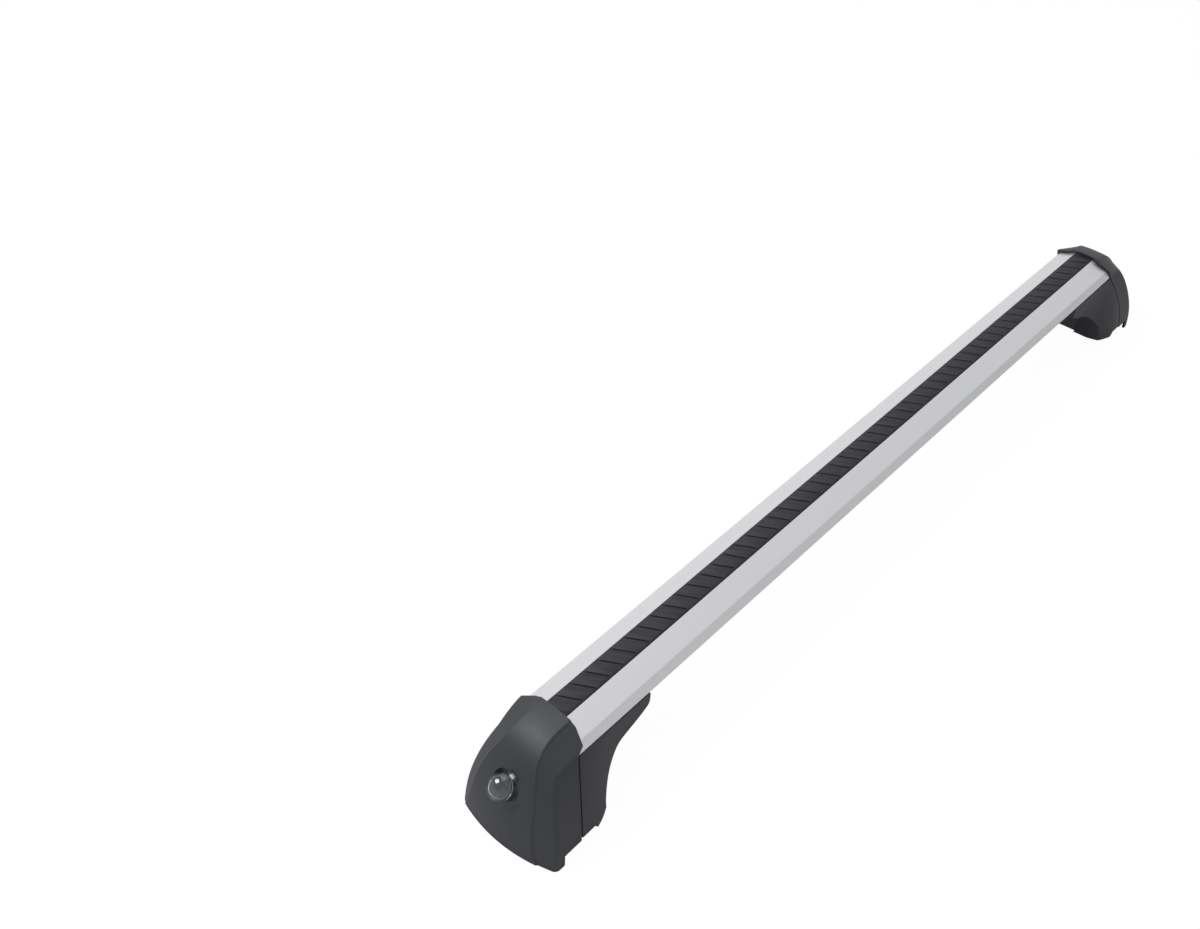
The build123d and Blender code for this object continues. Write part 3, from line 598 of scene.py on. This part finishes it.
def socket_screw(diameter, pitch, head, height, socket, plain, reach, segments):
    """A screw along Z: its head stands above Z = 0 and its shank runs down to -reach."""
    shape = bmesh.new()
    core = diameter / 2 - CORE_DEPTH * pitch
    chamfer = HEAD_CHAMFER * head
    profile = [
        (head / 2 - chamfer, height),
        (head / 2, height - chamfer),
        (head / 2, chamfer / 2),
        (head / 2 - chamfer / 2, 0),
        (diameter / 2, 0),
        (diameter / 2, -plain),
        (core, -plain - pitch),
        (core, pitch - reach),
        (core - pitch, -reach),
        (0, -reach),
    ]
    lathe(shape, profile, segments)
    bmesh.ops.remove_doubles(shape, verts=shape.verts, dist=SAME_POINT)
    hexagon_socket(shape, socket, height, SOCKET_DEPTH * height, segments)
    thread(shape, diameter, pitch, pitch / 2 - reach, -plain, segments // 2)
    bmesh.ops.recalc_face_normals(shape, faces=shape.faces)
    # Spin adds its faces in an order that changes from run to run; their vertices keep theirs.
    shape.verts.index_update()
    shape.faces.sort(key=vertex_order)
    return shape


def along(place, axis):
    """The turn and move that stand a piece drawn on Z at place, along axis."""
    return Matrix.Translation(place) @ Vector(axis).to_track_quat("Z", "Y").to_matrix().to_4x4()


def new_piece(name, shapes, material, body, replaced):
    """Joins shapes in a piece that rides on body and stands for a CAD node."""
    mesh = bpy.data.meshes.new(name)
    joined = bmesh.new()
    for shape in shapes:
        part = bpy.data.meshes.new("part")
        shape.to_mesh(part)
        shape.free()
        joined.from_mesh(part)
        bpy.data.meshes.remove(part)
    for face in joined.faces:
        face.smooth = True
    for edge in joined.edges:
        edge.smooth = edge.is_manifold and edge.calc_face_angle(0) < SMOOTH_TURN
    joined.to_mesh(mesh)
    joined.free()
    mesh.materials.append(material)
    piece = bpy.data.objects.new(name, mesh)
    bpy.context.scene.collection.objects.link(piece)
    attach(piece, body)
    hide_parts(replaced)


# Operators


class CROSSBAR_OT_bar(Operator):
    """Finishes the extruded bar in satin aluminium."""

    bl_idname = "crossbar.bar"
    bl_label = "Finish the bar"

    def execute(self, context):
        dress("bar", anodised_aluminium(context.scene.crossbar_finish))
        return {"FINISHED"}


class CROSSBAR_OT_strip(Operator):
    """Finishes the grooved rubber strip."""

    bl_idname = "crossbar.strip"
    bl_label = "Finish the strip"

    def execute(self, context):
        dress("slot_strip", strip_rubber(context.scene.crossbar_finish))
        return {"FINISHED"}


class CROSSBAR_OT_feet(Operator):
    """Finishes the moulded covers, housings and jaw caps."""

    bl_idname = "crossbar.feet"
    bl_label = "Finish the feet"

    def execute(self, context):
        plastic = moulded_plastic(context.scene.crossbar_finish)
        dress_both(("end_cover", "foot_housing", "jaw_cap"), plastic)
        return {"FINISHED"}


class CROSSBAR_OT_locks(Operator):
    """Finishes the locks and their clear dust caps."""

    bl_idname = "crossbar.locks"
    bl_label = "Finish the locks"

    def execute(self, context):
        finish = context.scene.crossbar_finish
        steel = plated_steel(finish)
        dress_both(("lock_clip", "lock_cam", "cam_screw", "cap_pin"), steel)
        # The barrels take near black painted shade for the depth of the lock recess.
        dress_both(("lock_barrel",), lock_painted_shade(finish))
        dress_both(("dust_cap",), clear_plastic())
        return {"FINISHED"}


class CROSSBAR_OT_clamps(Operator):
    """Finishes the castings, pads and fasteners inside the feet."""

    bl_idname = "crossbar.clamps"
    bl_label = "Finish the clamps"

    def execute(self, context):
        finish = context.scene.crossbar_finish
        dress_both(("foot_bracket", "clamp_jaw"), coated_casting(finish))
        dress_both(("base_pad",), pad_rubber(finish))
        steel = bpy.data.materials["plated_steel"]
        dress_both(("bolt_clip", "clamp_washer", "jaw_nut"), steel)
        dress_both(("nut_plate", "housing_screws"), steel)
        return {"FINISHED"}


class CROSSBAR_OT_clamp_bolts(Operator):
    """Builds the threaded clamp bolts in place of their plain solids."""

    bl_idname = "crossbar.clamp_bolts"
    bl_label = "Build the clamp bolts"

    def execute(self, context):
        screws = context.scene.crossbar_screws
        joints = {joint["name"]: joint for joint in frame["record"]["behaviour"]["joints"]}
        for side in SIDES:
            joint = joints[f"bolt_turn_{side}"]
            shape = socket_screw(
                screws.clamp_thread,
                screws.clamp_pitch,
                screws.clamp_head,
                CLAMP_HEAD_HEIGHT,
                screws.clamp_socket,
                CLAMP_PLAIN,
                CLAMP_REACH,
                screws.segments,
            )
            seat = Vector(joint["pos_m"]) + CLAMP_SEAT * Vector(joint["axis"])
            shape.transform(along(seat, joint["axis"]))
            steel = bpy.data.materials["plated_steel"]
            new_piece(
                f"clamp_bolt_threaded_{side}",
                [shape],
                steel,
                f"bolt_{side}",
                f"clamp_bolt_{side}",
            )
        return {"FINISHED"}


class CROSSBAR_OT_bar_screws(Operator):
    """Builds the two threaded screws under each end of the bar."""

    bl_idname = "crossbar.bar_screws"
    bl_label = "Build the bar screws"

    def execute(self, context):
        screws = context.scene.crossbar_screws
        for side in SIDES:
            low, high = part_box(f"bar_bolts_{side}")
            shapes = []
            for place_x in (low[0] + screws.bar_head / 2, high[0] - screws.bar_head / 2):
                shape = socket_screw(
                    screws.bar_thread,
                    screws.bar_pitch,
                    screws.bar_head,
                    BAR_HEAD_HEIGHT,
                    screws.bar_socket,
                    BAR_PLAIN,
                    high[2] - low[2] - BAR_HEAD_HEIGHT,
                    screws.segments,
                )
                seat = (place_x, (low[1] + high[1]) / 2, low[2] + BAR_HEAD_HEIGHT)
                shape.transform(along(seat, (0, 0, -1)))
                shapes.append(shape)
            new_piece(
                f"bar_screws_{side}",
                shapes,
                bpy.data.materials["plated_steel"],
                "rack",
                f"bar_bolts_{side}",
            )
        return {"FINISHED"}


def seen_directly(tree):
    """1 for what the camera sees, also through the clear caps, and 0 for the rest."""
    rays = node(tree, "ShaderNodeLightPath").outputs
    return calc(tree, "MAXIMUM", rays["Is Camera Ray"], rays["Is Transmission Ray"])


def floor_material(stage):
    """A pale floor that the camera sees nearly white, with a trace of the object's shadow kept."""
    material, tree, surface = blank_material("floor")
    surface.inputs["Base Color"].default_value = (*stage.floor, 1)
    surface.inputs["Roughness"].default_value = 0.9
    surface.inputs["Specular IOR Level"].default_value = 0.0
    glow = node(tree, "ShaderNodeEmission", Strength=SEEN_GLOW)
    mix = node(tree, "ShaderNodeMixShader")
    link = tree.links.new
    link(calc(tree, "MULTIPLY", seen_directly(tree), stage.floor_glow), mix.inputs["Fac"])
    link(surface.outputs[0], mix.inputs[1])
    link(glow.outputs[0], mix.inputs[2])
    link(mix.outputs[0], tree.nodes["Material Output"].inputs["Surface"])
    return material


def studio_world():
    """A white room, brightest behind the bar, that shows as white behind the floor."""
    world = bpy.data.worlds.new("studio")
    world.use_nodes = True
    tree = world.node_tree
    background = tree.nodes["Background"]
    background.inputs["Color"].default_value = (1, 1, 1, 1)
    where = node(tree, "ShaderNodeTexCoord")
    facing = node(tree, "ShaderNodeVectorMath", operation="DOT_PRODUCT")
    facing.inputs[1].default_value = Vector(BRIGHT_WALL).normalized()
    tree.links.new(where.outputs["Generated"], facing.inputs[0])
    room = ranged(tree, facing.outputs["Value"], (0.0, 1.0), ROOM_LEVEL)
    tree.links.new(calc(tree, "MAXIMUM", room, seen_directly(tree)), background.inputs["Strength"])
    bpy.context.scene.world = world


def softbox(name, place, target, size, power):
    """A square area lamp that points at target."""
    lamp = bpy.data.lights.new(name, "AREA")
    lamp.shape = "SQUARE"
    lamp.size = size
    lamp.energy = power
    obj = bpy.data.objects.new(name, lamp)
    aim = (Vector(target) - Vector(place)).to_track_quat("-Z", "Y")
    obj.matrix_world = Matrix.Translation(place) @ aim.to_matrix().to_4x4()
    bpy.context.scene.collection.objects.link(obj)


def photo_camera(stage):
    """The camera at the photograph's place and heading."""
    yaw, pitch, roll = stage.camera_yaw, stage.camera_pitch, stage.camera_roll
    ahead = Vector((cos(pitch) * cos(yaw), cos(pitch) * sin(yaw), -sin(pitch)))
    level_right = Vector((sin(yaw), -cos(yaw), 0))
    level_up = level_right.cross(ahead)
    right = cos(roll) * level_right + sin(roll) * level_up
    up = cos(roll) * level_up - sin(roll) * level_right
    turn = Matrix((right, up, -ahead)).transposed().to_4x4()
    data = bpy.data.cameras.new("camera")
    data.lens = stage.lens
    data.sensor_width = 36.0
    data.sensor_fit = "HORIZONTAL"
    camera = bpy.data.objects.new("camera", data)
    camera.matrix_world = Matrix.Translation(stage.camera_place) @ turn
    bpy.context.scene.collection.objects.link(camera)
    bpy.context.scene.camera = camera


class CROSSBAR_OT_stage(Operator):
    """Sets up the pale floor, the soft lamps and the camera."""

    bl_idname = "crossbar.stage"
    bl_label = "Set the stage"

    def execute(self, context):
        stage = context.scene.crossbar_stage
        mesh = bpy.data.meshes.new("floor")
        shape = bmesh.new()
        bmesh.ops.create_grid(shape, x_segments=1, y_segments=1, size=FLOOR_REACH)
        bmesh.ops.translate(shape, vec=(0, 0, -FLOOR_DROP), verts=shape.verts)
        shape.to_mesh(mesh)
        shape.free()
        mesh.materials.append(floor_material(stage))
        floor = bpy.data.objects.new("floor", mesh)
        context.scene.collection.objects.link(floor)
        studio_world()
        for lamp in LAMPS:
            softbox(*lamp)
        photo_camera(stage)
        context.scene.view_settings.view_transform = "Standard"
        return {"FINISHED"}


class CROSSBAR_PT_panel(Panel):
    """Lists the crossbar's finishing steps and settings."""

    bl_label = "Crossbar"
    bl_idname = "CROSSBAR_PT_panel"
    bl_space_type = "VIEW_3D"
    bl_region_type = "UI"
    bl_category = "Crossbar"

    def draw(self, context):
        layout = self.layout
        for step in STEPS:
            layout.operator(step.bl_idname)
        scene = context.scene
        for settings in (scene.crossbar_finish, scene.crossbar_screws, scene.crossbar_stage):
            box = layout.box()
            for name in settings.__annotations__:
                box.prop(settings, name)


STEPS = (
    CROSSBAR_OT_stage,
    CROSSBAR_OT_bar,
    CROSSBAR_OT_strip,
    CROSSBAR_OT_feet,
    CROSSBAR_OT_locks,
    CROSSBAR_OT_clamps,
    CROSSBAR_OT_clamp_bolts,
    CROSSBAR_OT_bar_screws,
)
CLASSES = (CrossbarFinish, CrossbarScrews, CrossbarStage, *STEPS, CROSSBAR_PT_panel)


def register():
    """Registers the classes and puts the settings on the scene."""
    for cls in CLASSES:
        bpy.utils.register_class(cls)
    bpy.types.Scene.crossbar_finish = PointerProperty(type=CrossbarFinish)
    bpy.types.Scene.crossbar_screws = PointerProperty(type=CrossbarScrews)
    bpy.types.Scene.crossbar_stage = PointerProperty(type=CrossbarStage)


def unregister():
    """Takes the settings and the classes away again."""
    del bpy.types.Scene.crossbar_finish
    del bpy.types.Scene.crossbar_screws
    del bpy.types.Scene.crossbar_stage
    for cls in reversed(CLASSES):
        bpy.utils.unregister_class(cls)


def main():
    """Dresses the crossbar."""
    register()
    for step in STEPS:
        group, name = step.bl_idname.split(".")
        getattr(getattr(bpy.ops, group), name)()


if __name__ == "__main__":
    main()
